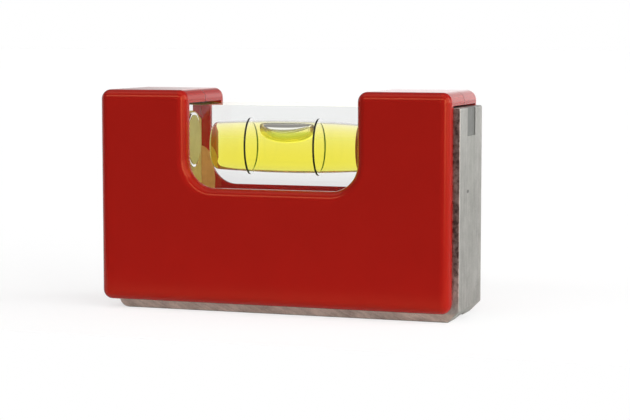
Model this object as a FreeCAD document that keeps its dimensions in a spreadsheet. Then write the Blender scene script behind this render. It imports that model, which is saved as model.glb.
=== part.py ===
import FreeCAD, Part
import os
import Sketcher
from FreeCAD import Placement, Rotation, Vector

# Pocket magnetic spirit level: a milled aluminium frame between two moulded
# covers, with a clear vial block in the notch at the top.
# Frame: X along the level, Y from the front to the rear, Z up, millimetres.
# The origin is on the resting plane, below the middle of the whole level.

os.makedirs("parts", exist_ok=True)
doc = FreeCAD.newDocument("spirit_level")

SIZES = {
    # covers
    "cover_length": 66.0,
    "cover_height": 38.5,
    "face_wall": 2.25,
    "cap_wall": 2.35,
    "end_wall": 2.5,
    "cover_round": 1.75,
    "notch_width": 32.1,
    "notch_depth": 17.6,
    "notch_corner": 5.0,
    "seam_gap": 0.1,
    "cover_gap": 0.3,
    "peg_diameter": 4.0,
    "peg_length": 6.5,
    "peg_gap": 0.1,
    "peg_inset": 5.5,
    "peg_rise": 9.5,
    "peg_drop": 6.7,
    # frame
    "frame_depth": 15.5,
    "base_proud": 1.5,
    "end_proud": 1.3,
    "end_chamfer": 2.0,
    "start_round": 1.8,
    "top_round": 0.4,
    "edge_break": 0.15,
    "groove_width": 5.6,
    "groove_depth": 1.0,
    "recess_width": 5.5,
    "recess_height": 5.1,
    "recess_depth": 0.12,
    # magnets
    "magnet_diameter": 8.0,
    "magnet_thickness": 4.0,
    "magnet_recess": 1.3,
    "magnet_inset": 14.55,
    "magnet_gap": 0.05,
    # vial block
    "block_length": 36.4,
    "block_height": 16.2,
    "block_gap": 0.1,
    "block_break": 0.1,
    "glue_layer": 0.3,
    "vial_drop": 7.55,
    "vial_offset": 0.4,
    "cavity_length": 27.8,
    "barrel_diameter": 9.5,
    "barrel_radius": 210.0,
    "cavity_taper": 1.3,
    "cavity_end": 6.2,
    "plug_diameter": 10.0,
    "plug_setback": 0.6,
    "plug_rise": 0.95,
    "plug_gap": 0.03,
    "liquid_gap": 0.02,
    # rings
    "ring_spacing": 13.05,
    "ring_stand": 0.25,
    "ring_width": 0.34,
    "ring_thickness": 0.12,
    "ring_play": 0.03,
    # bubble
    "bubble_length": 10.6,
    "bubble_depth": 3.5,
    "bubble_drift": 0.5,
    "bubble_film": 0.2,
    # how far a cutting outline runs past the face that it opens
    "cut_past": 1.0,
}

sheet = doc.addObject("Spreadsheet::Sheet", "dim")
for row, (alias, size) in enumerate(SIZES.items(), start=1):
    sheet.set(f"A{row}", alias)
    sheet.set(f"B{row}", str(size))
    sheet.setAlias(f"B{row}", alias)
doc.recompute()

# Places worked out from the sizes, as expressions on the sheet.
OVERALL = "(dim.cover_length + dim.end_proud)"
HEIGHT = "(dim.base_proud + dim.cover_height)"
COVER_LEFT = f"(-{OVERALL} / 2)"
COVER_RIGHT = f"({COVER_LEFT} + dim.cover_length)"
COVER_MIDDLE = f"({COVER_LEFT} + dim.cover_length / 2)"
NOTCH_LEFT = f"({COVER_MIDDLE} - dim.notch_width / 2)"
NOTCH_RIGHT = f"({COVER_MIDDLE} + dim.notch_width / 2)"
NOTCH_FLOOR = f"({HEIGHT} - dim.notch_depth)"
CAP_UNDERSIDE = f"({HEIGHT} - dim.cap_wall)"
FRAME_LEFT = f"({COVER_LEFT} + dim.end_wall + dim.cover_gap)"
FRAME_RIGHT = f"({OVERALL} / 2)"
FRAME_TOP = f"({CAP_UNDERSIDE} - dim.cover_gap)"
VIAL_MIDDLE = f"({COVER_MIDDLE} + dim.vial_offset)"
VIAL_HEIGHT = f"({FRAME_TOP} - dim.vial_drop)"
BLOCK_LEFT = f"({VIAL_MIDDLE} - dim.block_length / 2)"
BLOCK_RIGHT = f"({VIAL_MIDDLE} + dim.block_length / 2)"
BLOCK_BOTTOM = f"({FRAME_TOP} - dim.block_height)"
POCKET_LEFT = f"({BLOCK_LEFT} - dim.glue_layer)"
POCKET_RIGHT = f"({BLOCK_RIGHT} + dim.glue_layer)"
POCKET_FLOOR = f"({BLOCK_BOTTOM} - dim.glue_layer)"
PEG_LEFT = f"({FRAME_LEFT} + dim.peg_inset)"
PEG_RIGHT = f"({FRAME_RIGHT} - dim.peg_inset)"
PEG_HIGH = f"({FRAME_TOP} - dim.peg_drop)"
PEG_PLACES = [(PEG_LEFT, "dim.peg_rise"), (PEG_LEFT, PEG_HIGH),
              (PEG_RIGHT, "dim.peg_rise"), (PEG_RIGHT, PEG_HIGH)]
MAGNET_LEFT = f"(-{OVERALL} / 2 + dim.magnet_inset)"
MAGNET_RIGHT = f"({OVERALL} / 2 - dim.magnet_inset)"
CAVITY_HALF = "(dim.cavity_length / 2)"
PLUG_PLACE = ("0", f"{VIAL_HEIGHT} + dim.plug_rise")
PLUG_DEPTH = f"({VIAL_MIDDLE} - {CAVITY_HALF} - {BLOCK_LEFT})"
BARREL_HALF = f"({CAVITY_HALF} - dim.cavity_taper)"
BARREL_SAG = f"(dim.barrel_radius - sqrt(dim.barrel_radius^2 - {BARREL_HALF}^2))"
BARREL_LEFT = f"({VIAL_MIDDLE} - {BARREL_HALF})"
BARREL_RIGHT = f"({VIAL_MIDDLE} + {BARREL_HALF})"
RING_LEFT = f"({VIAL_MIDDLE} - dim.ring_spacing / 2)"
RING_RIGHT = f"({VIAL_MIDDLE} + dim.ring_spacing / 2)"
RING_INSIDE = f"({VIAL_HEIGHT} + dim.barrel_diameter / 2 + dim.ring_stand)"
RING_OUTSIDE = f"({RING_INSIDE} + dim.ring_thickness)"
BUBBLE_MIDDLE = f"({VIAL_MIDDLE} + dim.bubble_drift)"
BUBBLE_CROWN = f"({VIAL_HEIGHT} + dim.barrel_diameter / 2 - dim.bubble_film)"
BUBBLE_ROUND = "((dim.bubble_length^2 / 4 + dim.bubble_depth^2) / (2 * dim.bubble_depth))"


def number(expression):
    """The value of an expression on the sheet, as a plain number."""
    value = sheet.evalExpression(expression)
    return float(getattr(value, "Value", value))


def new_body(label):
    body = doc.addObject("PartDesign::Body", label)
    body.Label = label
    return body


def new_sketch(body, role, name, lift="0"):
    """An empty sketch on one of the body's own planes, lifted along its normal."""
    sketch = body.newObject("Sketcher::SketchObject", f"{body.Name}_{name}")
    plane = next(f for f in body.Origin.OriginFeatures if f.Role == role)
    sketch.AttachmentSupport = (plane, "")
    sketch.MapMode = "FlatFace"
    sketch.AttachmentOffset = Placement(Vector(0, 0, number(lift)), Rotation())
    sketch.setExpression("AttachmentOffset.Base.z", lift)
    return sketch


def pin_point(sketch, geometry, end, across, up):
    """Ties one end of a line or arc to two expressions, from the sketch's origin."""
    for kind, expression in (("DistanceX", across), ("DistanceY", up)):
        rule = Sketcher.Constraint(kind, -1, 1, geometry, end, number(expression))
        index = sketch.addConstraint(rule)
        sketch.setExpression(f"Constraints[{index}]", expression)


def outline(sketch, corners, arcs=None):
    """A closed outline through corners; arcs gives (radius, sign) for the side after a corner."""
    arcs = arcs or {}
    points = [Vector(number(across), number(up), 0) for across, up in corners]
    for i, start in enumerate(points):
        end = points[(i + 1) % len(points)]
        if i in arcs:
            radius, sign = arcs[i]
            side = arc_between(start, end, number(radius), sign)
        else:
            side = Part.LineSegment(start, end)
        sketch.addGeometry(side, False)
    for i, (across, up) in enumerate(corners):
        first_end = 2 if i in arcs and arcs[i][1] < 0 else 1
        pin_point(sketch, i, first_end, across, up)
        before = (i - 1) % len(corners)
        last_end = 1 if before in arcs and arcs[before][1] < 0 else 2
        sketch.addConstraint(Sketcher.Constraint("Coincident", before, last_end, i, first_end))
    for i, (radius, sign) in arcs.items():
        index = sketch.addConstraint(Sketcher.Constraint("Radius", i, number(radius)))
        sketch.setExpression(f"Constraints[{index}]", radius)


def arc_between(start, end, radius, sign):
    """The short arc from start to end: sign 1 turns counter-clockwise, -1 clockwise."""
    chord = end - start
    middle = (start + end) * 0.5
    rise = max(radius**2 - (chord.Length / 2) ** 2, 0.0) ** 0.5
    left = Vector(-chord.y, chord.x, 0).normalize()
    centre = middle + left * (rise * sign)
    if sign < 0:
        start, end = end, start
    first = (start - centre).getAngle(Vector(1, 0, 0)) * (1 if start.y >= centre.y else -1)
    last = (end - centre).getAngle(Vector(1, 0, 0)) * (1 if end.y >= centre.y else -1)
    circle = Part.Circle(centre, Vector(0, 0, 1), radius)
    return Part.ArcOfCircle(circle, first, last)


def rectangle(sketch, low_across, high_across, low_up, high_up):
    outline(sketch, [(low_across, low_up), (high_across, low_up),
                     (high_across, high_up), (low_across, high_up)])


def circles(sketch, centres, diameter):
    for across, up in centres:
        circle = Part.Circle(Vector(number(across), number(up), 0), Vector(0, 0, 1), 1)
        index = sketch.addGeometry(circle, False)
        pin_point(sketch, index, 3, across, up)
        rule = sketch.addConstraint(Sketcher.Constraint("Diameter", index, number(diameter)))
        sketch.setExpression(f"Constraints[{rule}]", diameter)


def feature(body, kind, name, sketch=None, length=None, **settings):
    """A PartDesign feature on the body, with its length tied to the sheet."""
    made = body.newObject(f"PartDesign::{kind}", f"{body.Name}_{name}")
    if sketch is not None:
        made.Profile = sketch
    if length is not None:
        made.Length = number(length)
        made.setExpression("Length", length)
    for key, setting in settings.items():
        setattr(made, key, setting)
    doc.recompute()
    return made


def revolve(body, kind, name, sketch):
    """A full turn of the sketch about the vial's axis, drawn in it as a construction line."""
    low = Vector(number(BLOCK_LEFT), number(VIAL_HEIGHT), 0)
    high = Vector(number(BLOCK_RIGHT), number(VIAL_HEIGHT), 0)
    axis = sketch.addGeometry(Part.LineSegment(low, high), True)
    pin_point(sketch, axis, 1, BLOCK_LEFT, VIAL_HEIGHT)
    pin_point(sketch, axis, 2, BLOCK_RIGHT, VIAL_HEIGHT)
    return feature(body, kind, name, sketch, ReferenceAxis=(sketch, ["Axis0"]), Angle=360)


def dress(body, kind, name, edges, size, field):
    """A fillet or chamfer on the named edges of the body's tip."""
    base = body.Tip
    made = body.newObject(f"PartDesign::{kind}", f"{body.Name}_{name}")
    made.Base = (base, edges)
    setattr(made, field, number(size))
    made.setExpression(field, size)
    doc.recompute()
    return made


def edges_where(body, test):
    """Names of the tip's edges whose ends and middle all pass the test."""
    names = []
    for i, edge in enumerate(body.Tip.Shape.Edges, start=1):
        middle = edge.valueAt((edge.FirstParameter + edge.LastParameter) / 2)
        if all(test(p) for p in [v.Point for v in edge.Vertexes] + [middle]):
            names.append(f"Edge{i}")
    return names


def near(a, b):
    return abs(a - b) < 1e-4


def edges_along_y(body, places):
    """Edges that run through the depth at any of the (X, Z) places."""
    spots = [(number(x), number(z)) for x, z in places]
    return edges_where(body, lambda p: any(near(p.x, x) and near(p.z, z) for x, z in spots))


def make_frame():
    """The milled bar: vial pocket, V groove along the base, magnet bores and peg holes."""
    body = new_body("aluminium_frame")
    side = new_sketch(body, "XZ_Plane", "side")
    outline(side, [
        (FRAME_LEFT, "0"),
        (f"{FRAME_RIGHT} - dim.end_chamfer", "0"),
        (FRAME_RIGHT, "dim.end_chamfer"),
        (FRAME_RIGHT, FRAME_TOP),
        (POCKET_RIGHT, FRAME_TOP),
        (POCKET_RIGHT, POCKET_FLOOR),
        (POCKET_LEFT, POCKET_FLOOR),
        (POCKET_LEFT, FRAME_TOP),
        (FRAME_LEFT, FRAME_TOP),
    ])
    feature(body, "Pad", "bar", side, "dim.frame_depth", Midplane=True)

    corners = edges_along_y(body, [(FRAME_LEFT, "0"), (FRAME_LEFT, FRAME_TOP)])
    dress(body, "Fillet", "start_round", corners, "dim.start_round", "Radius")
    top_corner = edges_along_y(body, [(FRAME_RIGHT, FRAME_TOP)])
    dress(body, "Fillet", "top_round", top_corner, "dim.top_round", "Radius")

    half = number("dim.frame_depth / 2")
    right = number(FRAME_RIGHT)
    chamfer_start = number(f"{FRAME_RIGHT} - dim.end_chamfer")
    long_edges = edges_where(body, lambda p: near(abs(p.y), half) and (
        near(p.x, right) or near(p.z, 0) or chamfer_start < p.x and p.z < number("dim.end_chamfer")))
    dress(body, "Chamfer", "edge_break", long_edges, "dim.edge_break", "Size")

    groove = new_sketch(body, "YZ_Plane", "groove")
    outline(groove, [("-dim.groove_width / 2", "-dim.cut_past"),
                     ("dim.groove_width / 2", "-dim.cut_past"),
                     ("dim.groove_width / 2", "0"),
                     ("0", "dim.groove_depth"),
                     ("-dim.groove_width / 2", "0")])
    feature(body, "Pocket", "groove_cut", groove, f"2 * {OVERALL}", Midplane=True)

    bores = new_sketch(body, "XY_Plane", "magnets")
    circles(bores, [(MAGNET_LEFT, "0"), (MAGNET_RIGHT, "0")],
            "dim.magnet_diameter + 2 * dim.magnet_gap")
    feature(body, "Pocket", "magnet_bores", bores, "dim.magnet_recess + dim.magnet_thickness",
            Reversed=True)

    holes = new_sketch(body, "XZ_Plane", "peg_holes")
    circles(holes, PEG_PLACES, "dim.peg_diameter + 2 * dim.peg_gap")
    feature(body, "Pocket", "peg_bores", holes, "2 * dim.frame_depth", Midplane=True)

    recess = new_sketch(body, "YZ_Plane", "end_recess", FRAME_RIGHT)
    rectangle(recess, "-dim.recess_width / 2", "dim.recess_width / 2",
              f"{FRAME_TOP} - dim.recess_height", f"{FRAME_TOP} + dim.cut_past")
    feature(body, "Pocket", "end_recess_cut", recess, "dim.recess_depth")
    return body


def make_cover(label, side):
    """A moulded half shell: side is 1 for the front and -1 for the rear."""
    body = new_body(label)
    inside = f"{side} * dim.frame_depth / 2"
    away = side < 0

    face = new_sketch(body, "XZ_Plane", "face", inside)
    outline(face, [
        (COVER_LEFT, "dim.base_proud"),
        (COVER_RIGHT, "dim.base_proud"),
        (COVER_RIGHT, HEIGHT),
        (NOTCH_RIGHT, HEIGHT),
        (NOTCH_RIGHT, NOTCH_FLOOR),
        (NOTCH_LEFT, NOTCH_FLOOR),
        (NOTCH_LEFT, HEIGHT),
        (COVER_LEFT, HEIGHT),
    ])
    feature(body, "Pad", "face_plate", face, "dim.face_wall", Reversed=away)

    seam = f"{side} * dim.seam_gap / 2"
    reach = "dim.frame_depth / 2 - dim.seam_gap / 2"
    left_flange = new_sketch(body, "XZ_Plane", "left_flange", seam)
    outline(left_flange, [
        (COVER_LEFT, "dim.base_proud"),
        (f"{COVER_LEFT} + dim.end_wall", "dim.base_proud"),
        (f"{COVER_LEFT} + dim.end_wall", CAP_UNDERSIDE),
        (NOTCH_LEFT, CAP_UNDERSIDE),
        (NOTCH_LEFT, HEIGHT),
        (COVER_LEFT, HEIGHT),
    ])
    feature(body, "Pad", "left_wall", left_flange, reach, Reversed=away)
    right_flange = new_sketch(body, "XZ_Plane", "right_flange", seam)
    rectangle(right_flange, NOTCH_RIGHT, COVER_RIGHT, CAP_UNDERSIDE, HEIGHT)
    feature(body, "Pad", "right_cap", right_flange, reach, Reversed=away)

    corners = edges_along_y(body, [
        (COVER_LEFT, "dim.base_proud"), (COVER_RIGHT, "dim.base_proud"),
        (COVER_LEFT, HEIGHT), (COVER_RIGHT, HEIGHT),
        (NOTCH_LEFT, HEIGHT), (NOTCH_RIGHT, HEIGHT)])
    dress(body, "Fillet", "outline_corners", corners, "dim.cover_round", "Radius")
    throat = edges_along_y(body, [(NOTCH_LEFT, NOTCH_FLOOR), (NOTCH_RIGHT, NOTCH_FLOOR)])
    dress(body, "Fillet", "notch_corners", throat, "dim.notch_corner", "Radius")
    outer = -side * number("dim.frame_depth / 2 + dim.face_wall")
    rim = edges_where(body, lambda p: near(p.y, outer))
    dress(body, "Fillet", "face_rim", rim, "dim.cover_round", "Radius")

    pegs = new_sketch(body, "XZ_Plane", "pegs", inside)
    circles(pegs, PEG_PLACES, "dim.peg_diameter")
    feature(body, "Pad", "peg_posts", pegs, "dim.peg_length", Reversed=not away)
    return body


def cavity_profile(inset):
    """Corners and arcs of half the barrel cavity, from its axis, drawn inset by a gap."""
    shoulder = f"{VIAL_HEIGHT} + dim.barrel_diameter / 2 - {BARREL_SAG} - {inset}"
    end = f"{VIAL_HEIGHT} + dim.cavity_end / 2 - {inset}"
    low = f"({VIAL_MIDDLE} - {CAVITY_HALF} + {inset})"
    high = f"({VIAL_MIDDLE} + {CAVITY_HALF} - {inset})"
    corners = [
        (low, VIAL_HEIGHT),
        (high, VIAL_HEIGHT),
        (high, end),
        (BARREL_RIGHT, shoulder),
        (BARREL_LEFT, shoulder),
        (low, end),
    ]
    return corners, {3: (f"dim.barrel_radius - {inset}", 1)}


def make_block():
    """The clear acrylic block: barrel cavity, ring slots and the bore for the plug."""
    body = new_body("vial_block")
    side = new_sketch(body, "XZ_Plane", "side")
    rectangle(side, BLOCK_LEFT, BLOCK_RIGHT, BLOCK_BOTTOM, FRAME_TOP)
    feature(body, "Pad", "billet", side, "dim.frame_depth - 2 * dim.block_gap", Midplane=True)
    half = number("dim.frame_depth / 2 - dim.block_gap")
    rims = edges_where(body, lambda p: near(abs(p.y), half))
    dress(body, "Chamfer", "polished_rims", rims, "dim.block_break", "Size")

    barrel = new_sketch(body, "XZ_Plane", "barrel")
    outline(barrel, *cavity_profile("0"))
    revolve(body, "Groove", "barrel_cut", barrel)

    bore = new_sketch(body, "YZ_Plane", "plug_bore", BLOCK_LEFT)
    circles(bore, [PLUG_PLACE], "dim.plug_diameter")
    feature(body, "Pocket", "plug_bore_cut", bore, PLUG_DEPTH, Reversed=True)

    for name, place in (("left", RING_LEFT), ("right", RING_RIGHT)):
        slot = new_sketch(body, "XZ_Plane", f"{name}_slot")
        rectangle(slot, f"{place} - dim.ring_width / 2 - dim.ring_play",
                  f"{place} + dim.ring_width / 2 + dim.ring_play",
                  f"{VIAL_HEIGHT} + dim.barrel_diameter / 2 - dim.cut_past",
                  f"{RING_OUTSIDE} + dim.ring_play")
        revolve(body, "Groove", f"{name}_slot_cut", slot)
    return body


def make_plug():
    """The clear plug in the block's left end; its inner face closes the cavity."""
    body = new_body("vial_plug")
    stick = new_sketch(body, "YZ_Plane", "stick", f"{BLOCK_LEFT} + dim.plug_setback")
    circles(stick, [PLUG_PLACE], "dim.plug_diameter - 2 * dim.plug_gap")
    feature(body, "Pad", "stick_length", stick, f"{PLUG_DEPTH} - dim.plug_setback")
    return body


def make_barrel(label, inset):
    """A solid of the cavity's form, inset by a gap all round."""
    body = new_body(label)
    barrel = new_sketch(body, "XZ_Plane", "barrel")
    outline(barrel, *cavity_profile(inset))
    revolve(body, "Revolution", "barrel_turned", barrel)
    return body


def make_bubble(label):
    """The air bubble: a round belly, cut off above by the film of liquid under the crown."""
    belly = doc.addObject("Part::Sphere", f"{label}_belly")
    belly.setExpression("Radius", BUBBLE_ROUND)
    belly.Placement = Placement(Vector(), Rotation(Vector(1, 1, 1), -120))
    belly.setExpression("Placement.Base.x", BUBBLE_MIDDLE)
    belly.setExpression("Placement.Base.z", f"{BUBBLE_CROWN} - dim.bubble_depth + {BUBBLE_ROUND}")
    crown = doc.addObject("Part::Cylinder", f"{label}_crown")
    crown.setExpression("Radius", "dim.barrel_diameter / 2 - dim.bubble_film")
    crown.setExpression("Height", "dim.cavity_length")
    crown.Placement = Placement(Vector(), Rotation(Vector(0, 1, 0), 90))
    crown.setExpression("Placement.Base.x", f"{VIAL_MIDDLE} - {CAVITY_HALF}")
    crown.setExpression("Placement.Base.z", VIAL_HEIGHT)
    bubble = doc.addObject("Part::Common", label)
    bubble.Base = belly
    bubble.Tool = crown
    bubble.Label = label
    return bubble


def make_liquid(bubble):
    """The liquid fills the cavity round the bubble."""
    filling = make_barrel("vial_filling", "dim.liquid_gap")
    liquid = doc.addObject("Part::Cut", "vial_liquid")
    liquid.Base = filling
    liquid.Tool = bubble
    liquid.Label = "vial_liquid"
    return liquid


def make_ring(label, place):
    """A thin flat ring that sits in its slot round the barrel."""
    body = new_body(label)
    band = new_sketch(body, "XZ_Plane", "band")
    rectangle(band, f"{place} - dim.ring_width / 2", f"{place} + dim.ring_width / 2",
              RING_INSIDE, RING_OUTSIDE)
    revolve(body, "Revolution", "band_turned", band)
    return body


def make_glue():
    """The bed of adhesive under the block and at both its ends, one U shaped layer."""
    body = new_body("vial_adhesive")
    side = new_sketch(body, "XZ_Plane", "side")
    fill_top = f"({FRAME_TOP} - dim.block_gap - dim.block_break)"
    outline(side, [
        (POCKET_LEFT, POCKET_FLOOR),
        (POCKET_RIGHT, POCKET_FLOOR),
        (POCKET_RIGHT, fill_top),
        (BLOCK_RIGHT, fill_top),
        (BLOCK_RIGHT, BLOCK_BOTTOM),
        (BLOCK_LEFT, BLOCK_BOTTOM),
        (BLOCK_LEFT, fill_top),
        (POCKET_LEFT, fill_top),
    ])
    feature(body, "Pad", "layer", side, "dim.frame_depth - 2 * dim.block_gap - 2 * dim.block_break",
            Midplane=True)
    return body


def make_magnet(label, place):
    """A disc magnet, pressed up to the floor of its bore in the base."""
    disc = doc.addObject("Part::Cylinder", label)
    disc.setExpression("Radius", "dim.magnet_diameter / 2")
    disc.setExpression("Height", "dim.magnet_thickness")
    disc.setExpression("Placement.Base.x", place)
    disc.setExpression("Placement.Base.z", "dim.magnet_recess")
    disc.Label = label
    return disc


bubble = make_bubble("bubble")
sub_parts = [
    make_frame(),
    make_cover("front_cover", 1),
    make_cover("rear_cover", -1),
    make_block(),
    make_plug(),
    bubble,
    make_liquid(bubble),
    make_ring("ring_left", RING_LEFT),
    make_ring("ring_right", RING_RIGHT),
    make_glue(),
    make_magnet("magnet_left", MAGNET_LEFT),
    make_magnet("magnet_right", MAGNET_RIGHT),
]
doc.recompute()

for item in doc.Objects:
    if "Invalid" in item.State or "Error" in item.State:
        raise RuntimeError(f"{item.Label} failed: {item.State}")
for part in sub_parts:
    if part.Shape.isNull() or not part.Shape.isValid():
        raise RuntimeError(f"{part.Label} has no valid shape")

for part in sub_parts:
    part.Shape.exportStep(f"parts/{part.Label}.step")
    print(f"{part.Label}: {part.Shape.Volume:.1f} mm3, {len(part.Shape.Solids)} solid")
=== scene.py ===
import math
import bpy
import numpy as np
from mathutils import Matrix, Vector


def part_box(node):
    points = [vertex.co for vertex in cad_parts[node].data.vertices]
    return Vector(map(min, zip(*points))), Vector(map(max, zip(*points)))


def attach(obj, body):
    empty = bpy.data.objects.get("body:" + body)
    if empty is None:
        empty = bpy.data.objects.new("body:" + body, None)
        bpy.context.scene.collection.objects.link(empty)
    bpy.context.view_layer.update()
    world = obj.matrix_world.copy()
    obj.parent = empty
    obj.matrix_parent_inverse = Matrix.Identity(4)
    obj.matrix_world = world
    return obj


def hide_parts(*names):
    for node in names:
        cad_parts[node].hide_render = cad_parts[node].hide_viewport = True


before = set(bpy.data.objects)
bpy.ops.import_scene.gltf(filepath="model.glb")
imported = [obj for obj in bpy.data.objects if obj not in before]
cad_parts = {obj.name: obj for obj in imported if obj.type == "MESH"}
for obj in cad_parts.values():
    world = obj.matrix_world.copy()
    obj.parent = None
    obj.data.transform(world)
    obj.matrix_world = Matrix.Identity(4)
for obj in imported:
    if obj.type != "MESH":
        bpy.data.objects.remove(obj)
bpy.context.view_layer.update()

# Milled bar. A length of drawn aluminium, sawn off and milled, with a V groove in its
# base. It stays the imported node and gets its finish here: long cutter marks on the
# end, slanted ones on the base, sawn sides, a shallow recess and one small pit, with
# painted light and shade on the sides, the end and the recess.

MM = 0.001


def fill(node, sockets):
    """Give a node's sockets, called by name or number, a value or another node's output."""
    for key, value in sockets.items():
        socket = node.inputs[key]
        if isinstance(value, bpy.types.NodeSocket):
            node.id_data.links.new(value, socket)
        else:
            socket.default_value = value


def add_node(tree, kind, sockets=None, **settings):
    """A node of that kind, with its settings made and its sockets filled."""
    node = tree.nodes.new(kind)
    for key, value in settings.items():
        setattr(node, key, value)
    fill(node, sockets or {})
    return node


def new_material(name):
    """An empty material, its node tree and its shader, wired to the output."""
    material = bpy.data.materials.new(name)
    material.use_nodes = True
    tree = material.node_tree
    tree.nodes.clear()
    shader = tree.nodes.new("ShaderNodeBsdfPrincipled")
    add_node(tree, "ShaderNodeOutputMaterial", {"Surface": shader.outputs["BSDF"]})
    return material, tree, shader


def place_in_mm(tree, scale=(1, 1, 1), turn=(0, 0, 0)):
    """The place on the piece in millimetres, turned and then stretched by scale."""
    where = add_node(tree, "ShaderNodeTexCoord").outputs["Object"]
    in_mm = add_node(tree, "ShaderNodeVectorMath", {0: where, "Scale": 1 / MM}, operation="SCALE")
    rotated = add_node(tree, "ShaderNodeMapping", {0: in_mm.outputs[0], "Rotation": turn})
    return add_node(tree, "ShaderNodeMapping", {0: rotated.outputs[0], "Scale": scale}).outputs[0]


def axis_value(tree, axis):
    """One coordinate of the place on the piece, in millimetres."""
    split = add_node(tree, "ShaderNodeSeparateXYZ", {0: place_in_mm(tree)})
    return split.outputs["XYZ".index(axis)]


def math_node(tree, operation, first, second=0.0, third=0.0, clamp=False):
    """One step of arithmetic on numbers or masks."""
    node = add_node(tree, "ShaderNodeMath", {0: first, 1: second, 2: third},
                    operation=operation, use_clamp=clamp)
    return node.outputs[0]


def product(tree, first, *others):
    """All the numbers or masks multiplied together."""
    for other in others:
        first = math_node(tree, "MULTIPLY", first, other)
    return first


def add_up(tree, start, *shares):
    """A start, and then each value times its own share added to it."""
    for value, share in shares:
        start = math_node(tree, "MULTIPLY_ADD", value, share, start)
    return start


def ramp(tree, value, low, high, bottom=0.0, top=1.0):
    """value carried smoothly from low..high to bottom..top, and held outside."""
    sockets = {"Value": value, "From Min": low, "From Max": high, "To Min": bottom, "To Max": top}
    node = add_node(tree, "ShaderNodeMapRange", sockets, interpolation_type="SMOOTHSTEP")
    return node.outputs[0]


def inside(tree, value, low, high, soft=0.03):
    """1 where value lies between low and high, with soft edges."""
    return product(tree, ramp(tree, value, low - soft, low + soft),
                   ramp(tree, value, high + soft, high - soft))


def blend_numbers(tree, mask, first, second):
    """The first number where the mask is 0, the second where it is 1."""
    return add_node(tree, "ShaderNodeMix", {0: mask, 2: first, 3: second}).outputs[0]


def blend_colours(tree, mask, first, second):
    """The first colour where the mask is 0, the second where it is 1."""
    sockets = {0: mask, 6: first, 7: second}
    return add_node(tree, "ShaderNodeMix", sockets, data_type="RGBA").outputs[2]


def make_mottle_group():
    """Cloudy unevenness: noise of one size, its distance from a half times the sharpness."""
    group = bpy.data.node_groups.new("mottle", "ShaderNodeTree")
    for name, way, kind in (("Place", "INPUT", "Vector"), ("Size", "INPUT", "Float"),
                            ("Sharpness", "INPUT", "Float"), ("Mask", "OUTPUT", "Float")):
        group.interface.new_socket(name, in_out=way, socket_type=f"NodeSocket{kind}")
    given = group.nodes.new("NodeGroupInput").outputs
    noise = add_node(group, "ShaderNodeTexNoise", {
        "Vector": given["Place"], "Scale": math_node(group, "DIVIDE", 1.0, given["Size"]),
        "Detail": 4.0, "Roughness": 0.6})
    spread = product(group, math_node(group, "SUBTRACT", noise.outputs[0], 0.5), given["Sharpness"])
    add_node(group, "NodeGroupOutput", {"Mask": math_node(group, "ADD", spread, 0.5, clamp=True)})
    return group


MOTTLE = make_mottle_group()


def mottle(tree, place, size, sharpness):
    """Clouds of about that size in millimetres, from 0 to 1."""
    sockets = {"Place": place, "Size": size, "Sharpness": sharpness}
    return add_node(tree, "ShaderNodeGroup", sockets, node_tree=MOTTLE).outputs["Mask"]


def bump(tree, height, strength, depth, sunk=False, over=None):
    """A relief of depth millimetres, raised or sunk, over the plain surface or another relief."""
    sockets = {"Height": height, "Strength": strength, "Distance": depth * MM}
    if over is not None:
        sockets["Normal"] = over
    return add_node(tree, "ShaderNodeBump", sockets, invert=sunk).outputs["Normal"]


SIDE_FACE = 7.68
END_FACE = 33.65
BASE_STRIP = 1.5
BAR_TOP = 37.35
RECESS_HALF = 2.75
RECESS_BOTTOM = BAR_TOP - 5.1
RECESS_FLOOR = END_FACE - 0.12
PIT_Y, PIT_Z = -2.2, 22.58
PIT_LENGTHENED = 0.40
MARK_SLANT = math.radians(-24)
RECESS_SHADE_STRENGTH = 0.8

BAR_DARK, BAR_LIGHT = (0.22, 0.21, 0.19, 1), (0.475, 0.465, 0.42, 1)
SIDE_DARK, SIDE_LIGHT = (0.25, 0.215, 0.18, 1), (0.71, 0.58, 0.50, 1)
SAWN_DARK, SAWN_LIGHT = (0.15, 0.09, 0.08, 1), (0.52, 0.37, 0.33, 1)
RECESS_PAINTED_SHADE, RECESS_PAINTED_HIGHLIGHT = (0.12, 0.125, 0.112, 1), (0.95, 0.95, 0.93, 1)
END_PAINTED_LIGHT = (0.60, 0.60, 0.56, 1)
TRACK_TONE = (0.27, 0.275, 0.235, 1)
PIT_TONE = (0.06, 0.055, 0.045, 1)

milled, tree, shader = new_material("milled_aluminium_finish")
bar_x, bar_y, bar_z = (axis_value(tree, axis) for axis in "XYZ")
from_middle = math_node(tree, "ABSOLUTE", bar_y)
side_face = ramp(tree, from_middle, SIDE_FACE, SIDE_FACE + 0.05)
end_face = ramp(tree, bar_x, END_FACE - 0.06, END_FACE - 0.01)
base_strip = ramp(tree, bar_z, BASE_STRIP + 0.3, BASE_STRIP - 0.2)

# the cutter's marks run up the end and aslant on the base, over clouds and fine grains
upright = mottle(tree, place_in_mm(tree, (1.4, 1.4, 0.10)), size=1.0, sharpness=1.8)
slanted = mottle(tree, place_in_mm(tree, (0.25, 1.0, 2.6), (0, MARK_SLANT, 0)),
                 size=1.0, sharpness=2.6)
marks = blend_numbers(tree, base_strip, upright, slanted)
clouds = mottle(tree, place_in_mm(tree), size=3.2, sharpness=2.6)
grains = mottle(tree, place_in_mm(tree), size=0.35, sharpness=2.4)
tone = add_up(tree, 0.0, (clouds, 0.35), (marks, 0.45), (grains, 0.20))
colour = blend_colours(tree, tone, BAR_DARK, BAR_LIGHT)
colour = blend_colours(tree, product(tree, side_face, base_strip), colour,
                       blend_colours(tree, tone, SIDE_DARK, SIDE_LIGHT))
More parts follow.
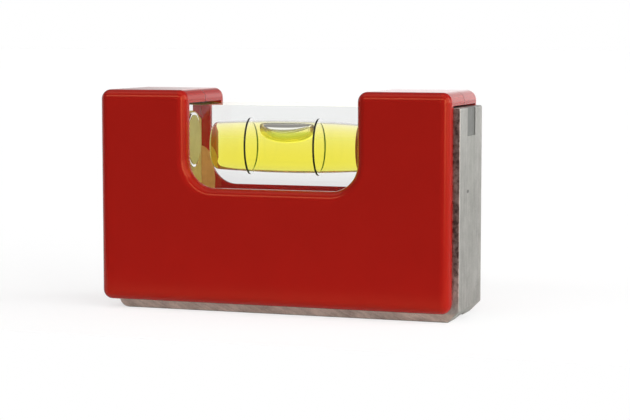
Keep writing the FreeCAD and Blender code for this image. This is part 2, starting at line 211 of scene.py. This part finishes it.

# the sides above the base are left as sawn: dark and blotchy, with painted light making them paler
# lower down
blotches = mottle(tree, place_in_mm(tree, (1.0, 1.0, 0.8)), size=0.75, sharpness=3.6)
painted_low_light = ramp(tree, bar_z, 10.0, 2.0, 0.0, 0.45)
sawn = blend_colours(tree, math_node(tree, "ADD", blotches, painted_low_light, clamp=True),
                     SAWN_DARK, SAWN_LIGHT)
sawn_side = product(tree, side_face, ramp(tree, bar_z, BASE_STRIP - 0.5, BASE_STRIP + 4.0))
colour = blend_colours(tree, sawn_side, colour, sawn)

# the recess's floor is darkened with painted shade, and its thin walls are painted bright as a
# painted highlight
recess_floor_shade = product(
    tree, inside(tree, bar_y, -RECESS_HALF, RECESS_HALF),
    ramp(tree, bar_z, RECESS_BOTTOM - 0.03, RECESS_BOTTOM + 0.03),
    inside(tree, bar_x, RECESS_FLOOR - 0.8, RECESS_FLOOR + 0.03, soft=0.01),
    RECESS_SHADE_STRENGTH)
colour = blend_colours(tree, recess_floor_shade, colour, RECESS_PAINTED_SHADE)
recess_wall_highlight = product(
    tree, inside(tree, from_middle, RECESS_HALF - 0.05, RECESS_HALF + 0.05, soft=0.02),
    ramp(tree, bar_z, RECESS_BOTTOM - 0.08, RECESS_BOTTOM - 0.03),
    inside(tree, bar_x, RECESS_FLOOR + 0.02, END_FACE - 0.01, soft=0.01))
colour = blend_colours(tree, recess_wall_highlight, colour, RECESS_PAINTED_HIGHLIGHT)

# the end is painted lighter near its top as painted light, and a darker track runs down from the
# recess
painted_top_light = product(tree, end_face, ramp(tree, bar_z, 20.0, 34.0, 0.0, 0.25))
colour = blend_colours(tree, painted_top_light, colour, END_PAINTED_LIGHT)
track = product(tree, end_face, inside(tree, bar_y, -1.2, RECESS_HALF, soft=0.6),
                ramp(tree, bar_z, 12.0, 32.0, 0.10, 0.42))
colour = blend_colours(tree, track, colour, TRACK_TONE)

# one small dark pit on the end, longer across than up
pit_across = product(tree, math_node(tree, "SUBTRACT", bar_y, PIT_Y), PIT_LENGTHENED)
pit_up = math_node(tree, "SUBTRACT", bar_z, PIT_Z)
from_pit = add_node(tree, "ShaderNodeCombineXYZ", {"Y": pit_across, "Z": pit_up}).outputs[0]
away = add_node(tree, "ShaderNodeVectorMath", {0: from_pit}, operation="LENGTH").outputs["Value"]
pit = product(tree, ramp(tree, away, 0.40, 0.20),
              ramp(tree, bar_x, END_FACE - 0.25, END_FACE - 0.05))
colour = blend_colours(tree, pit, colour, PIT_TONE)

fill(shader, {
    "Base Color": colour,
    "Metallic": 1.0,
    "Roughness": ramp(tree, tone, 0.0, 1.0, 0.42, 0.26),
    "Normal": bump(tree, add_up(tree, marks, (grains, 0.5)), strength=0.35, depth=0.03)})
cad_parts["aluminium_frame"].data.materials[0] = milled

# Magnets. Two nickel plated discs pressed into blind bores in the base, a little
# short of the resting face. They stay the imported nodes.

NICKEL_DULL, NICKEL_BRIGHT = (0.50, 0.49, 0.47, 1), (0.66, 0.65, 0.62, 1)

plated, tree, shader = new_material("plated_magnet_finish")
clouds = mottle(tree, place_in_mm(tree), size=1.5, sharpness=2.0)
scuffs = mottle(tree, place_in_mm(tree), size=0.6, sharpness=2.0)
fill(shader, {
    "Base Color": blend_colours(tree, clouds, NICKEL_DULL, NICKEL_BRIGHT),
    "Metallic": 1.0,
    "Roughness": ramp(tree, scuffs, 0.0, 1.0, 0.18, 0.34)})
for name in ("magnet_left", "magnet_right"):
    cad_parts[name].data.materials[0] = plated

# Vial block. A block of cast acrylic with polished faces, bored along its length for
# the liquid. Its left end has a shallow wider bore, where the plug sits.

BLOCK_LOW, BLOCK_HIGH = (np.array(corner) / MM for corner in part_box("vial_block"))
BLOCK_BREAK = 0.02
PLUG_FACE = -17.85
PLUG_RADIUS = 5.0
PLUG_HEIGHT = 30.75
ACRYLIC_BENDING = 1.49  # how strongly it bends light
ACRYLIC, ACRYLIC_PAINTED_SHADE = (0.885, 0.895, 0.89, 1), (0.79, 0.79, 0.795, 1)


def mesh_piece(name, points, faces, material, smooth=True):
    """A mesh object at the origin, from points in millimetres and a list of faces."""
    mesh = bpy.data.meshes.new(name)
    mesh.from_pydata((np.asarray(points) * MM).tolist(), [], faces)
    mesh.materials.append(material)
    mesh.polygons.foreach_set("use_smooth", np.full(len(mesh.polygons), smooth))
    mesh.update()
    piece = bpy.data.objects.new(name, mesh)
    bpy.context.scene.collection.objects.link(piece)
    return piece


def loop_faces(rows, columns):
    """Faces of a stack of closed loops, whose first and last rows are one point each."""
    here = np.arange(columns)
    after = np.roll(here, -1)
    start = 1 + np.arange(rows - 3)[:, None] * columns
    last_loop = 1 + (rows - 3) * columns
    first_fan = np.stack([np.zeros(columns, int), 1 + after, 1 + here], 1)
    quads = np.stack([start + here, start + after,
                      start + columns + after, start + columns + here], 2)
    last_fan = np.stack([last_loop + here, last_loop + after,
                         np.full(columns, last_loop + columns)], 1)
    return first_fan.tolist() + quads.reshape(-1, 4).tolist() + last_fan.tolist()


def block_outline(inset, steps=32):
    """Y, Z of points round the block's section, drawn in by inset, with cut corners."""
    (left, bottom), (right, top) = BLOCK_LOW[1:] + inset, BLOCK_HIGH[1:] - inset
    cut = BLOCK_BREAK
    corners = np.array([
        (right, bottom + cut), (right, top - cut), (right - cut, top), (left + cut, top),
        (left, top - cut), (left, bottom + cut), (left + cut, bottom), (right - cut, bottom)])
    share = np.linspace(0, 1, steps, endpoint=False)[:, None]
    long_sides, cuts = corners[0::2], corners[1::2]
    sides = [np.concatenate([start + share * (end - start), end[None]])
             for start, end in zip(long_sides, cuts)]
    return np.concatenate(sides)


def make_block():
    """Loops along X: the bore's floor and mouth, the left rim and end, the right end and rim."""
    full, drawn_in = block_outline(0), block_outline(BLOCK_BREAK)
    angle = np.arctan2(full[:, 1] - PLUG_HEIGHT, full[:, 0])
    circle = np.column_stack([PLUG_RADIUS * np.cos(angle),
                              PLUG_HEIGHT + PLUG_RADIUS * np.sin(angle)])
    left, right = BLOCK_LOW[0], BLOCK_HIGH[0]
    loops = [(PLUG_FACE, circle), (left, circle), (left, drawn_in), (left + BLOCK_BREAK, full),
             (right - BLOCK_BREAK, full), (right, drawn_in)]
    rings = [np.column_stack([np.full(len(yz), x), yz]) for x, yz in loops]
    points = np.concatenate([[(PLUG_FACE, 0, PLUG_HEIGHT)], *rings, [(right, 0, PLUG_HEIGHT)]])
    return points, loop_faces(len(loops) + 2, len(full))


clear, tree, shader = new_material("clear_acrylic_finish")
# the block is tinted darker low down: painted shade
painted_low_shade = ramp(tree, axis_value(tree, "Z"), 27.0, 22.0)
fill(shader, {
    "Base Color": blend_colours(tree, painted_low_shade, ACRYLIC, ACRYLIC_PAINTED_SHADE),
    "Roughness": 0.0,
    "IOR": ACRYLIC_BENDING,
    "Transmission Weight": 1.0})
block = mesh_piece("clear_block", *make_block(), clear, smooth=False)
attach(block, "level")
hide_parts("vial_block")

# Plug. A short acrylic stick cemented into the block's end bore. Cement makes its
# sides vanish, so only its ground outer end shows, a pale disc at the bore's floor.

PLUG_END_LOW, PLUG_END_HIGH = PLUG_FACE + 0.01, PLUG_FACE + 0.12
PLUG_END_RADIUS = PLUG_RADIUS - 0.45
GROUND_DARK, GROUND_LIGHT = (0.60, 0.52, 0.17, 1), (0.74, 0.66, 0.26, 1)
GROUND_PAINTED_GLOW = (0.70, 0.62, 0.24, 1)


def turned(profile, height, steps=96):
    """Points and faces of a profile (x, radius) turned about a line along X at that height."""
    profile = np.asarray(profile, float)
    angle = np.linspace(0, 2 * np.pi, steps, endpoint=False)
    x, radius = profile[1:-1, :1], profile[1:-1, 1:]
    rings = np.stack(np.broadcast_arrays(
        x, radius * np.cos(angle), height + radius * np.sin(angle)), 2)
    ends = np.array([(profile[0, 0], 0, height), (profile[-1, 0], 0, height)])
    points = np.concatenate([ends[:1], rings.reshape(-1, 3), ends[1:]])
    return points, loop_faces(len(profile), steps)


ground, tree, shader = new_material("ground_plug_finish")
clouds = mottle(tree, place_in_mm(tree), size=2.0, sharpness=1.4)
# the olive tint and the glow are painted light from the yellow liquid
fill(shader, {
    "Base Color": blend_colours(tree, clouds, GROUND_DARK, GROUND_LIGHT),
    "Roughness": 0.7,
    "Emission Color": GROUND_PAINTED_GLOW,
    "Emission Strength": 0.16})
plug_profile = [(PLUG_END_LOW, 0), (PLUG_END_LOW, PLUG_END_RADIUS),
                (PLUG_END_HIGH, PLUG_END_RADIUS), (PLUG_END_HIGH, 0)]
plug = mesh_piece("plug_end", *turned(plug_profile, PLUG_HEIGHT), ground, smooth=False)
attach(plug, "level")
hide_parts("vial_plug")

# Liquid. Yellow spirit that fills the barrel shaped cavity. The cavity is widest at
# its middle, has a slot for each level mark, and rounds off to a flat disc at each end.

AXIS_HEIGHT = 29.8
BARREL_MIDDLE = -0.25
BARREL_RADIUS = 4.73
BARREL_CURVE = 210.0
# each end: from the middle to the disc, length of the round, disc's radius, last angle
LEFT_END = (13.65, 0.95, 3.7, math.radians(55))
RIGHT_END = (14.2, 0.3, 4.3, math.radians(80))
MARK_PLACES = (-6.775, 6.275)
SLOT_HALF = 0.19
SLOT_RADIUS = 5.12
CORNER = 0.01  # the points of a pair this close keep a corner sharp
SPIRIT_BENDING = 1.43
SPIRIT_PAINTED_PALE, SPIRIT_LOW = (1, 1, 1, 1), (0.965, 0.905, 0.30, 1)
SPIRIT_PAINTED_GLOW, CROWN_PAINTED_LIGHT = (0.011, 0.028, 0.0, 1), (0.058, 0.052, 0.062, 1)
SPIRIT_DYE = (0.999, 0.968, 0.50, 1)
DYE_DENSITY = 370.0


def barrel_reach(x):
    """The cavity's radius at x from its middle, on an arc of the barrel's curve."""
    return BARREL_RADIUS - (BARREL_CURVE - np.sqrt(BARREL_CURVE**2 - x**2))


def barrel_end(half, length, disc, last_angle):
    """The barrel's wall rounded to the rim of a flat disc by part of an oval, then the disc."""
    start = half - length
    angle = np.linspace(0, last_angle, 10)[1:]
    x = start + length * np.sin(angle) / math.sin(last_angle)
    drop = barrel_reach(start) - disc
    reach = barrel_reach(start) - drop * (1 - np.cos(angle)) / (1 - math.cos(last_angle))
    return np.concatenate([np.column_stack([x, reach]), [(half, disc - CORNER), (half, 0)]])


def slot_profile(centre):
    """A square slot in the barrel's wall, with a tight pair of points at each corner."""
    wall = barrel_reach(centre)
    rise = np.array([
        (-SLOT_HALF - CORNER, wall), (-SLOT_HALF, wall), (-SLOT_HALF, wall + CORNER),
        (-SLOT_HALF, SLOT_RADIUS - CORNER), (-SLOT_HALF, SLOT_RADIUS),
        (-SLOT_HALF + CORNER, SLOT_RADIUS)])
    return np.concatenate([rise, rise[::-1] * (-1, 1)]) + (centre, 0)


def barrel_profile():
    """Half the cavity's section: the long arc with its slots, and the two rounded ends."""
    x = np.linspace(LEFT_END[1] - LEFT_END[0], RIGHT_END[0] - RIGHT_END[1], 53)
    centres = np.array(MARK_PLACES) - BARREL_MIDDLE
    clear_of_slots = (np.abs(x[:, None] - centres) > 2 * SLOT_HALF).all(1)
    points = np.column_stack([x, barrel_reach(x)])[clear_of_slots]
    for centre in centres:
        place = np.searchsorted(points[:, 0], centre)
        points = np.insert(points, place, slot_profile(centre), axis=0)
    left, right = barrel_end(*LEFT_END)[::-1] * (-1, 1), barrel_end(*RIGHT_END)
    return np.concatenate([left, points, right]) + (BARREL_MIDDLE, 0)


spirit, tree, shader = new_material("yellow_liquid_finish")
up = axis_value(tree, "Z")
# paler towards the top, and a faint glow that is strongest at the crown: painted light
fill(shader, {
    "Base Color": blend_colours(tree, ramp(tree, up, 33.5, 25.5), SPIRIT_PAINTED_PALE, SPIRIT_LOW),
    "Roughness": 0.0,
    "IOR": SPIRIT_BENDING / ACRYLIC_BENDING,
    "Transmission Weight": 1.0,
    "Emission Color": blend_colours(tree, ramp(tree, up, 30.8, 34.0), SPIRIT_PAINTED_GLOW, CROWN_PAINTED_LIGHT),
    "Emission Strength": 1.0})
dye = add_node(tree, "ShaderNodeVolumeAbsorption", {"Color": SPIRIT_DYE, "Density": DYE_DENSITY})
fill(tree.nodes["Material Output"], {"Volume": dye.outputs[0]})
liquid = mesh_piece("yellow_spirit", *turned(barrel_profile(), AXIS_HEIGHT, 128), spirit)
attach(liquid, "level")
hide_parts("vial_liquid")

# Level marks. Two flat black bands in their slots round the barrel, which the bubble
# is read against. The far half of each is painted green, painted light from the liquid.

MARK_RADIUS = 5.09
MARK_HALF_WIDTH = 0.185
MARK_HALF_THICK = 0.045
MARK_BLACK, MARK_FAR_PAINTED_GLOW = (0.004, 0.004, 0.003, 1), (0.09, 0.25, 0.02, 1)


def make_mark(middle, around=128, across=14):
    """A thin flat oval carried round the barrel's axis, both closed."""
    angle = np.linspace(0, 2 * np.pi, around, endpoint=False)[:, None]
    turn = np.linspace(0, 2 * np.pi, across, endpoint=False)[None, :]
    reach = MARK_RADIUS + MARK_HALF_THICK * np.cos(turn)
    x = np.broadcast_to(middle + MARK_HALF_WIDTH * np.sin(turn), (around, across))
    points = np.stack([x, reach * np.cos(angle), AXIS_HEIGHT + reach * np.sin(angle)], 2)
    index = np.arange(around * across).reshape(around, across)
    beside, ahead = np.roll(index, -1, axis=1), np.roll(index, -1, axis=0)
    faces = np.stack([index, beside, np.roll(beside, -1, axis=0), ahead], 2)
    return points.reshape(-1, 3), faces.reshape(-1, 4).tolist()


black, tree, shader = new_material("black_ring_finish")
far_side = ramp(tree, axis_value(tree, "Y"), -0.5, 0.5)
# the far half is painted green: painted light from the liquid in front of it
fill(shader, {
    "Base Color": blend_colours(tree, far_side, MARK_BLACK, MARK_FAR_PAINTED_GLOW),
    "Roughness": 0.6})
for side, place in zip(("left", "right"), MARK_PLACES):
    ring = mesh_piece(f"wire_ring_{side}", *make_mark(place), black)
    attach(ring, "level")
    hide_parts(f"ring_{side}")

# Bubble. Air pressed up against the crown of the barrel, with a rounded belly. It
# runs with the bubble joint.

BUBBLE_MIDDLE = 0.25
BUBBLE_HALF_LENGTH = 5.3
BUBBLE_HALF_WIDTH = 3.7
BUBBLE_DEPTH = 3.9
BUBBLE_FILM = 0.15
END_DROP = 1.3
SIDE_DROP = 0.5
CROWN_POWER = 6.0
BELLY_POWER = 2.1
CROWN_CLEAR, BELLY_PAINTED_SHADE = (1, 1, 1, 1), (0.18, 0.19, 0.13, 1)
CROWN_DARK, BELLY_PAINTED_GLOW = (0, 0, 0, 1), (0.33, 0.36, 0.03, 1)
BELLY_ROUGHNESS = 0.22


def crown_height(x, y):
    """The barrel's inside less the film of liquid, at x, y from the bubble's middle."""
    reach = barrel_reach(x + BUBBLE_MIDDLE - BARREL_MIDDLE) - BUBBLE_FILM
    return np.sqrt(reach**2 - y**2)


def make_bubble(rings=32, around=128):
    """Polar grid: share s from the middle to the rim, angle round it.

    Top: the crown, less drop * (1 - (1 - s^6)^(1/6)), so it turns down at the rim.
    Belly: rim less (rim - bottom) * (1 - s^2.1)^(1/2.1).
    """
    lift = np.linspace(0, np.pi / 2, rings + 1)[1:]
    share = np.sin(lift)[:, None]
    angle = np.linspace(0, 2 * np.pi, around, endpoint=False)[None, :]
    out_x, out_y = BUBBLE_HALF_LENGTH * np.cos(angle), BUBBLE_HALF_WIDTH * np.sin(angle)
    x, y = share * out_x, share * out_y
    drop = END_DROP * np.cos(angle) ** 2 + SIDE_DROP * np.sin(angle) ** 2
    turned_down = 1 - np.maximum(1 - share**CROWN_POWER, 0) ** (1 / CROWN_POWER)
    top = crown_height(x, y) - drop * turned_down
    crown = float(crown_height(0, 0))
    rim = crown_height(out_x, out_y) - drop
    thick = np.maximum(1 - share**BELLY_POWER, 0) ** (1 / BELLY_POWER)
    belly = rim - (rim - crown + BUBBLE_DEPTH) * thick
    upper = np.stack([x, y, top], 2)
    lower = np.stack([x, y, belly], 2)[:-1][::-1]
    poles = np.array([(0, 0, crown), (0, 0, crown - BUBBLE_DEPTH)])
    points = np.concatenate([poles[:1], upper.reshape(-1, 3), lower.reshape(-1, 3), poles[1:]])
    faces = [face[::-1] for face in loop_faces(2 * rings + 1, around)]
    return points + (BUBBLE_MIDDLE, 0, AXIS_HEIGHT), faces


air, tree, shader = new_material("air_bubble_finish")
belly_side = ramp(tree, axis_value(tree, "Z"), 32.9, 32.3)
# the belly is tinted dark as painted shade and glows green as painted light
fill(shader, {
    "Base Color": blend_colours(tree, belly_side, CROWN_CLEAR, BELLY_PAINTED_SHADE),
    "Roughness": product(tree, belly_side, BELLY_ROUGHNESS),
    "IOR": 1 / SPIRIT_BENDING,
    "Transmission Weight": 1.0,
    "Emission Color": blend_colours(tree, belly_side, CROWN_DARK, BELLY_PAINTED_GLOW),
    "Emission Strength": 1.0})
air_bubble = mesh_piece("round_bubble", *make_bubble(), air)
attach(air_bubble, "bubble")
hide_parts("bubble")

# Adhesive. Amber resin that beds the block in the bar. It wets the block's ends in
# films that reach a hair into it, with no air between, and lies under it as a flat
# bed. The end films' top edges sink towards the rear.

BED_LOW, BED_HIGH = (np.array(corner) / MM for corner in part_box("vial_adhesive"))
FILM_TOP = 36.05
FILM_SINK = 1.8
HAIR = 0.02
RESIN_DARK, RESIN_LIGHT = (0.60, 0.45, 0.12, 1), (0.78, 0.62, 0.20, 1)
RESIN_PAINTED_GLOW = (0.70, 0.52, 0.16, 1)


def closed_slab(front, back):
    """Points and faces of two grids of the same size, joined round their edges."""
    rows, columns = front.shape[:2]
    index = np.arange(rows * columns).reshape(rows, columns)
    quads = np.stack([index[:-1, :-1], index[1:, :-1], index[1:, 1:], index[:-1, 1:]], 2)
    quads = quads.reshape(-1, 4)
    edge = np.concatenate([index[:-1, 0], index[-1, :-1], index[1:, -1][::-1], index[0, 1:][::-1]])
    after = np.roll(edge, -1)
    offset = rows * columns
    sides = np.stack([after, edge, edge + offset, after + offset], 1)
    faces = np.concatenate([quads, quads[:, ::-1] + offset, sides])
    return np.concatenate([front.reshape(-1, 3), back.reshape(-1, 3)]), faces.tolist()


def end_film(block_face, wall_face, steps=40):
    """Resin between the block's end and the pocket's wall.

    Its top is level in front, and behind the middle it sinks by FILM_SINK times the
    square of the way to the rear.
    """
    y = np.linspace(BED_LOW[1], BED_HIGH[1], steps)[:, None]
    share = np.linspace(0, 1, steps)[None, :]
    top = FILM_TOP - FILM_SINK * np.clip(y / BED_HIGH[1], 0, 1) ** 2
    z = BED_LOW[2] + share * (top - BED_LOW[2])
    y = np.broadcast_to(y, z.shape)
    sheets = [np.stack([np.full(z.shape, x), y, z], 2) for x in (block_face, wall_face)]
    if block_face < wall_face:
        sheets.reverse()
    return closed_slab(*sheets)


def bed_film():
    """A flat layer of resin on the pocket's floor, up to a hair below the block."""
    x = np.linspace(BLOCK_LOW[0] - HAIR, BLOCK_HIGH[0] + HAIR, 40)[:, None]
    y = np.linspace(BED_LOW[1], BED_HIGH[1], 20)[None, :]
    x, y = np.broadcast_arrays(x, y)
    sheets = [np.stack([x, y, np.full(x.shape, z)], 2)
              for z in (BLOCK_LOW[2] - HAIR / 2, BED_LOW[2])]
    return closed_slab(*sheets)


resin, tree, shader = new_material("adhesive_finish")
clouds = mottle(tree, place_in_mm(tree), size=1.8, sharpness=1.8)
fine = mottle(tree, place_in_mm(tree), size=0.25, sharpness=1.6)
# a faint glow: painted light
fill(shader, {
    "Base Color": blend_colours(tree, clouds, RESIN_DARK, RESIN_LIGHT),
    "Roughness": 0.45,
    "Normal": bump(tree, fine, strength=0.3, depth=0.05),
    "Emission Color": RESIN_PAINTED_GLOW,
    "Emission Strength": 0.17})
films = (
    ("adhesive_left", end_film(BLOCK_LOW[0] + HAIR, BED_LOW[0])),
    ("adhesive_right", end_film(BLOCK_HIGH[0] - HAIR, BED_HIGH[0])),
    ("adhesive_bed", bed_film()))
for name, parts in films:
    film = mesh_piece(name, *parts, resin, smooth=False)
    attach(film, "level")
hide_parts("vial_adhesive")

# Tongue of adhesive. Resin that crept up between the block and the rear cover at the
# left end, and set as a thin flat tongue with a rounded right edge.

TONGUE_EDGE = np.array([
    (20.9, -15.85), (21.7, -15.84), (23.5, -15.76), (25.2, -16.0), (26.7, -16.3),
    (27.7, -16.6), (28.5, -17.05), (29.1, -17.7), (29.4, -18.3)])
TONGUE_START = BLOCK_LOW[0] + 0.05
TONGUE_NEAR = BLOCK_HIGH[1] + 0.003
TONGUE_THIN, TONGUE_SWELL = 0.012, 0.05
AMBER_DARK, AMBER_LIGHT = (0.62, 0.30, 0.08, 1), (0.84, 0.47, 0.17, 1)
AMBER_PAINTED_GLOW = (0.80, 0.38, 0.11, 1)


def make_tongue(rows=40, columns=24):
    """Across from the block's end to the edge (height, x), up along it, thinnest at its rim.

    The thickness at share s across is thin + swell * sqrt(1 - s^6).
    """
    z = np.linspace(TONGUE_EDGE[0, 0], TONGUE_EDGE[-1, 0], rows)
    edge = np.interp(z, TONGUE_EDGE[:, 0], TONGUE_EDGE[:, 1])
    share = np.linspace(0, 1, columns)[:, None]
    x = TONGUE_START + share * (edge - TONGUE_START)
    z = np.broadcast_to(z, x.shape)
    thick = TONGUE_THIN + TONGUE_SWELL * np.sqrt(1 - share**6) * np.ones_like(z)
    near = np.stack([x, np.full(x.shape, TONGUE_NEAR), z], 2)
    return closed_slab(near, near + np.stack([0 * x, thick, 0 * x], 2))


amber, tree, shader = new_material("amber_tongue_finish")
clouds = mottle(tree, place_in_mm(tree), size=1.2, sharpness=1.8)
# a faint glow: painted light
fill(shader, {
    "Base Color": blend_colours(tree, clouds, AMBER_DARK, AMBER_LIGHT),
    "Roughness": 0.35,
    "Emission Color": AMBER_PAINTED_GLOW,
    "Emission Strength": 0.22})
tongue = mesh_piece("adhesive_tongue", *make_tongue(), amber)
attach(tongue, "level")

# Covers. Two moulded halves in glossy red plastic, joined along a fine seam over the
# top and the left end. They stay the imported nodes. Their skin is finely moulded, the
# seam is darkened with painted shade, and their inner faces, seen through the block,
# carry a little dust and are painted a brighter red as painted light.

INNER_FACE = 7.75
SEAM_HALF, SEAM_CORE = 0.14, 0.05
RED, RED_WORN = (0.330, 0.0082, 0.0060, 1), (0.355, 0.0092, 0.0066, 1)
RED_SEAM_SHADE = (0.06, 0.001, 0.001, 1)
RED_INNER_PAINTED_LIGHT, DUST = (0.78, 0.012, 0.006, 1), (0.95, 0.80, 0.70, 1)
# the strength of each cover's gloss, and its tint
GLOSS = {"front_cover": (0.42, (1.0, 0.36, 0.15, 1)), "rear_cover": (0.58, (1.0, 0.85, 0.80, 1))}

for name, (gloss, gloss_tint) in GLOSS.items():
    red, tree, shader = new_material(f"{name}_finish")
    from_middle = math_node(tree, "ABSOLUTE", axis_value(tree, "Y"))
    clouds = mottle(tree, place_in_mm(tree), size=9.0, sharpness=1.6)
    dust = mottle(tree, place_in_mm(tree), size=0.18, sharpness=2.3)
    hazes = mottle(tree, place_in_mm(tree), size=2.5, sharpness=1.5)
    skin = mottle(tree, place_in_mm(tree), size=0.12, sharpness=1.0)
    specks = product(tree, ramp(tree, dust, 0.86, 0.94), 0.5)
    inner_light_and_dust = product(tree, inside(tree, from_middle, INNER_FACE - 0.05, INNER_FACE + 0.05),
                    ramp(tree, axis_value(tree, "Z"), BAR_TOP + 0.1, BAR_TOP))
    seam = ramp(tree, from_middle, SEAM_HALF, SEAM_CORE)
    # the inner faces are painted a brighter red, painted light, with real dust specks on them
    colour = blend_colours(tree, inner_light_and_dust, blend_colours(tree, clouds, RED, RED_WORN),
                           blend_colours(tree, specks, RED_INNER_PAINTED_LIGHT, DUST))
    moulded = bump(tree, skin, strength=0.05, depth=0.01)
    # the seam line is darkened: painted shade in the gap between the halves
    fill(shader, {
        "Base Color": blend_colours(tree, seam, colour, RED_SEAM_SHADE),
        "Roughness": ramp(tree, hazes, 0.0, 1.0, 0.11, 0.14),
        "Specular IOR Level": gloss,
        "Specular Tint": gloss_tint,
        "Normal": bump(tree, seam, strength=0.7, depth=0.10, sunk=True, over=moulded)})
    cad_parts[name].data.materials[0] = red

# Floor, light and camera. A pale paper floor that keeps a soft shadow, and a studio
# whose light all comes from the sky: dim all round, pale behind the object, with soft
# boxes set by their direction. The camera stands where the photograph was taken.

FLOOR_FRONT = -0.04
FLOOR_REACH = 6.0
FLOOR_DROP = -0.1 * MM
WHITE, PAPER = (1, 1, 1, 1), (0.92, 0.92, 0.92, 1)
PAPER_GLOW, GLOW_SHARE = 1.1, 0.62
ALL_ROUND = 0.19

floor_mesh = bpy.data.meshes.new("floor")
floor_mesh.from_pydata([(x, y, FLOOR_DROP) for x, y in (
    (-FLOOR_REACH, FLOOR_FRONT), (FLOOR_REACH, FLOOR_FRONT),
    (FLOOR_REACH, FLOOR_REACH), (-FLOOR_REACH, FLOOR_REACH))], [], [(0, 1, 2, 3)])
floor = bpy.data.objects.new("floor", floor_mesh)
bpy.context.scene.collection.objects.link(floor)
paper, tree, shader = new_material("paper_floor")
fill(shader, {"Base Color": PAPER, "Roughness": 0.9, "Specular IOR Level": 0.0})
path = add_node(tree, "ShaderNodeLightPath").outputs
seen = math_node(tree, "MAXIMUM", path["Is Camera Ray"], path["Is Transmission Ray"])
glow = add_node(tree, "ShaderNodeEmission", {"Color": WHITE, "Strength": PAPER_GLOW})
paper_look = add_node(tree, "ShaderNodeMixShader", {
    0: product(tree, seen, GLOW_SHARE), 1: shader.outputs[0], 2: glow.outputs[0]})
fill(tree.nodes["Material Output"], {"Surface": paper_look.outputs[0]})
floor_mesh.materials.append(paper)

world = bpy.data.worlds.new("studio")
bpy.context.scene.world = world
world.use_nodes = True
tree = world.node_tree
tree.nodes.clear()
facing = add_node(tree, "ShaderNodeTexCoord").outputs["Generated"]
across, depth, height = add_node(tree, "ShaderNodeSeparateXYZ", {0: facing}).outputs
front = math_node(tree, "MULTIPLY", depth, -1.0)


def soft_box(axis, first, first_span, second, second_span, edge=0.12):
    """1 inside a rectangle on the plane where axis is 1, seen from the object, with soft edges."""
    mask = ramp(tree, axis, 0.02, 0.10)
    for value, (low, high) in ((first, first_span), (second, second_span)):
        reach = math_node(tree, "DIVIDE", value, math_node(tree, "MAXIMUM", axis, 0.02))
        mask = product(tree, mask, inside(tree, reach, low, high, soft=edge))
    return mask


overhead = soft_box(height, across, (-0.95, 0.95), depth, (-0.40, 0.15))
right_box = soft_box(across, depth, (-0.70, 0.60), height, (-0.05, 1.00))
key_strip = soft_box(front, across, (0.80, 1.45), height, (-0.10, 1.00), edge=0.10)
brow_strip = soft_box(front, across, (-1.00, 0.60), height, (0.72, 1.10), edge=0.14)
# low behind the object, where the covers' tops see it: less light at its left, more beyond
low_band = product(tree, ramp(tree, depth, 0.55, 0.80), ramp(tree, height, -0.02, 0.02),
                   ramp(tree, height, 0.30, 0.18), ramp(tree, across, -0.42, -0.35, -0.30, 0.22))
from_below = product(tree, ramp(tree, front, 0.10, 0.50), ramp(tree, height, -0.20, -0.40))
backdrop = product(tree, ramp(tree, depth, -0.35, 0.25), ramp(tree, height, 0.45, 0.20))
studio = add_up(tree, ALL_ROUND, (backdrop, 0.79), (overhead, 0.85), (right_box, 2.9),
                (key_strip, 5.3), (brow_strip, 4.6), (low_band, 1.0), (from_below, 0.45))
# the camera sees plain white all round, and clear pieces show it behind and low in front
path = add_node(tree, "ShaderNodeLightPath").outputs
low_ahead = product(tree, ramp(tree, depth, -0.45, -0.70), ramp(tree, height, 0.30, 0.15))
through = product(tree, path["Is Transmission Ray"],
                  math_node(tree, "MAXIMUM", backdrop, low_ahead))
white = math_node(tree, "MAXIMUM", path["Is Camera Ray"], through)
sky = add_node(tree, "ShaderNodeBackground", {
    "Color": WHITE, "Strength": blend_numbers(tree, white, studio, 1.0)})
add_node(tree, "ShaderNodeOutputWorld", {"Surface": sky.outputs[0]})

CAMERA_PLACE = (114.2 * MM, -319.6 * MM, 49.8 * MM)
CAMERA_YAW = 18.93
CAMERA_DOWN = 5.34
FOCAL_PIXELS = 1869.7
PHOTO_WIDTH = 630
SENSOR_WIDTH = 36.0
camera_data = bpy.data.cameras.new("camera")
camera_data.sensor_width = SENSOR_WIDTH
camera_data.lens = SENSOR_WIDTH * FOCAL_PIXELS / PHOTO_WIDTH
camera_data.clip_start = 0.01
camera = bpy.data.objects.new("camera", camera_data)
camera.location = CAMERA_PLACE
camera.rotation_euler = (math.radians(90 - CAMERA_DOWN), 0, math.radians(CAMERA_YAW))
bpy.context.scene.collection.objects.link(camera)
bpy.context.scene.camera = camera
bpy.context.scene.view_settings.view_transform = "Standard"
